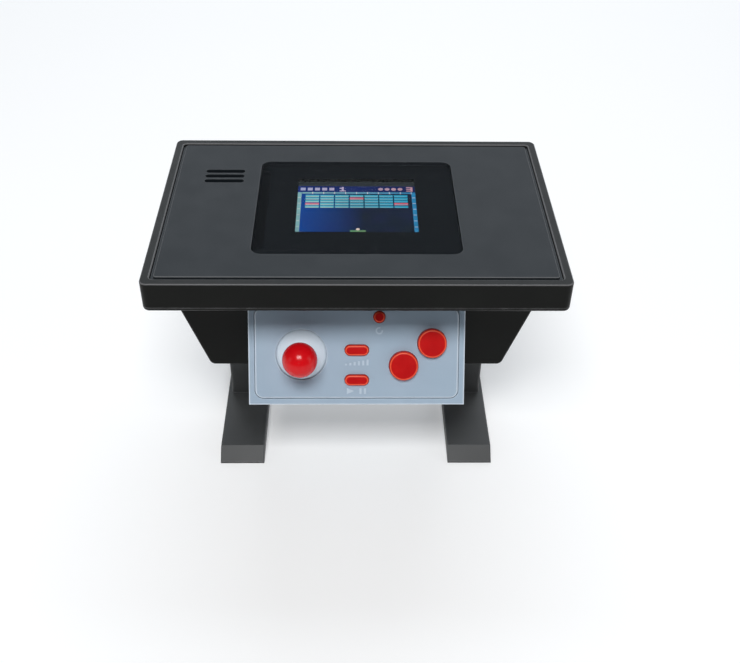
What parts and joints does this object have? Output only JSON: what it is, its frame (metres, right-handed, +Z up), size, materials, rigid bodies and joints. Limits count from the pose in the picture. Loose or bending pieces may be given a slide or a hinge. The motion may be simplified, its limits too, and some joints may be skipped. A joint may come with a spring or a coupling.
{
  "type": "handheld lcd game",
  "caption": "Miniature table-shaped electronic game: flat top with a small colour display, sloped control box with ball-top joystick and push buttons, and two pedestal legs.",
  "frame": {"origin": "on the floor, under the middle of the whole object's outline", "axes": "+X towards the player's right, +Y away from the player, +Z up"},
  "size_m": [0.116, 0.0834, 0.075],
  "materials": {
    "black_case": "satin",
    "black_panel": "satin",
    "lens": "polished",
    "black_film": "satin",
    "display": "polished",
    "white_plastic": "satin",
    "steel": "satin",
    "flex_film": "satin",
    "speaker_film": "satin",
    "magnet": "satin",
    "wire": "satin",
    "board_green": "satin",
    "black_resin": "satin",
    "cell_wrap": "satin",
    "grey_case": "satin",
    "dome_grey": "satin",
    "inner_grey": "satin",
    "shaft_steel": "satin",
    "red_ball": "polished",
    "red_buttons": "satin",
    "silicone": "matt",
    "switch_black": "satin"
  },
  "bodies": {
    "cabinet": {"table_frame": "black_case", "lower_housing": "black_case", "top_panel": "black_panel", "screen_lens": "lens", "screen_mask": "black_film", "display_glass": "display", "backlight": "white_plastic", "battery_holder": "white_plastic", "display_frame": "steel", "speaker_frame": "steel", "battery_contacts": "steel", "battery_springs": "steel", "board_screws": "steel", "case_screws": "steel", "leg_screws": "steel", "key_board_screws": "steel", "control_box_screws": "steel", "joystick_screws": "steel", "crystal": "steel", "display_ribbon": "flex_film", "control_ribbon": "flex_film", "speaker_cone": "speaker_film", "speaker_magnet": "magnet", "speaker_wires": "wire", "power_wires": "wire", "main_board": "board_green", "key_board": "board_green", "chip_cover": "black_resin", "power_switch": "black_resin", "capacitors": "black_resin", "front_battery": "cell_wrap", "middle_battery": "cell_wrap", "rear_battery": "cell_wrap", "control_box": "grey_case", "control_panel": "grey_case", "left_leg": "grey_case", "right_leg": "grey_case", "joystick_base": "inner_grey", "upper_action_dome": "silicone", "lower_action_dome": "silicone", "volume_dome": "silicone", "start_dome": "silicone", "reset_dome": "silicone", "centering_pad": "silicone"},
    "upper_action_button": {"upper_action_button": "red_buttons"},
    "lower_action_button": {"lower_action_button": "red_buttons"},
    "volume_button": {"volume_button": "red_buttons"},
    "start_button": {"start_button": "red_buttons"},
    "reset_button": {"reset_button": "red_buttons"},
    "battery_door": {"battery_door": "black_case"},
    "switch_knob": {"switch_knob": "switch_black"},
    "gimbal": {"gimbal_ring": "inner_grey"},
    "stick": {"joystick_shaft": "shaft_steel", "joystick_dome": "dome_grey", "joystick_ball": "red_ball"}
  },
  "joints": [
    {"name": "stick_forward_back", "type": "hinge", "parent": "cabinet", "child": "gimbal", "pos_m": [-0.0161, -0.02415, 0.0412], "axis": [1, 0, 0], "range_deg": [-10, 10], "stiffness_Nm_per_rad": 0.03},
    {"name": "stick_left_right", "type": "hinge", "parent": "gimbal", "child": "stick", "pos_m": [-0.0161, -0.02415, 0.0412], "axis": [0, 0.518, 0.8554], "range_deg": [-10, 10], "stiffness_Nm_per_rad": 0.03},
    {"name": "upper_action_button_press", "type": "slide", "parent": "cabinet", "child": "upper_action_button", "axis": [0, 0.8554, -0.518], "range_m": [0, 0.0012], "stiffness_N_per_m": 400, "deforming": ["upper_action_dome"]},
    {"name": "lower_action_button_press", "type": "slide", "parent": "cabinet", "child": "lower_action_button", "axis": [0, 0.8554, -0.518], "range_m": [0, 0.0012], "stiffness_N_per_m": 400, "deforming": ["lower_action_dome"]},
    {"name": "volume_button_press", "type": "slide", "parent": "cabinet", "child": "volume_button", "axis": [0, 0.8554, -0.518], "range_m": [0, 0.0008], "stiffness_N_per_m": 400, "deforming": ["volume_dome"]},
    {"name": "start_button_press", "type": "slide", "parent": "cabinet", "child": "start_button", "axis": [0, 0.8554, -0.518], "range_m": [0, 0.0008], "stiffness_N_per_m": 400, "deforming": ["start_dome"]},
    {"name": "reset_button_press", "type": "slide", "parent": "cabinet", "child": "reset_button", "axis": [0, 0.8554, -0.518], "range_m": [0, 0.0006], "stiffness_N_per_m": 400, "deforming": ["reset_dome"]},
    {"name": "battery_door_slide", "type": "slide", "parent": "cabinet", "child": "battery_door", "axis": [0, 1, 0], "range_m": [0, 0.036]},
    {"name": "power_switch_slide", "type": "slide", "parent": "cabinet", "child": "switch_knob", "axis": [1, 0, 0], "range_m": [0, 0.0032]}
  ]
}
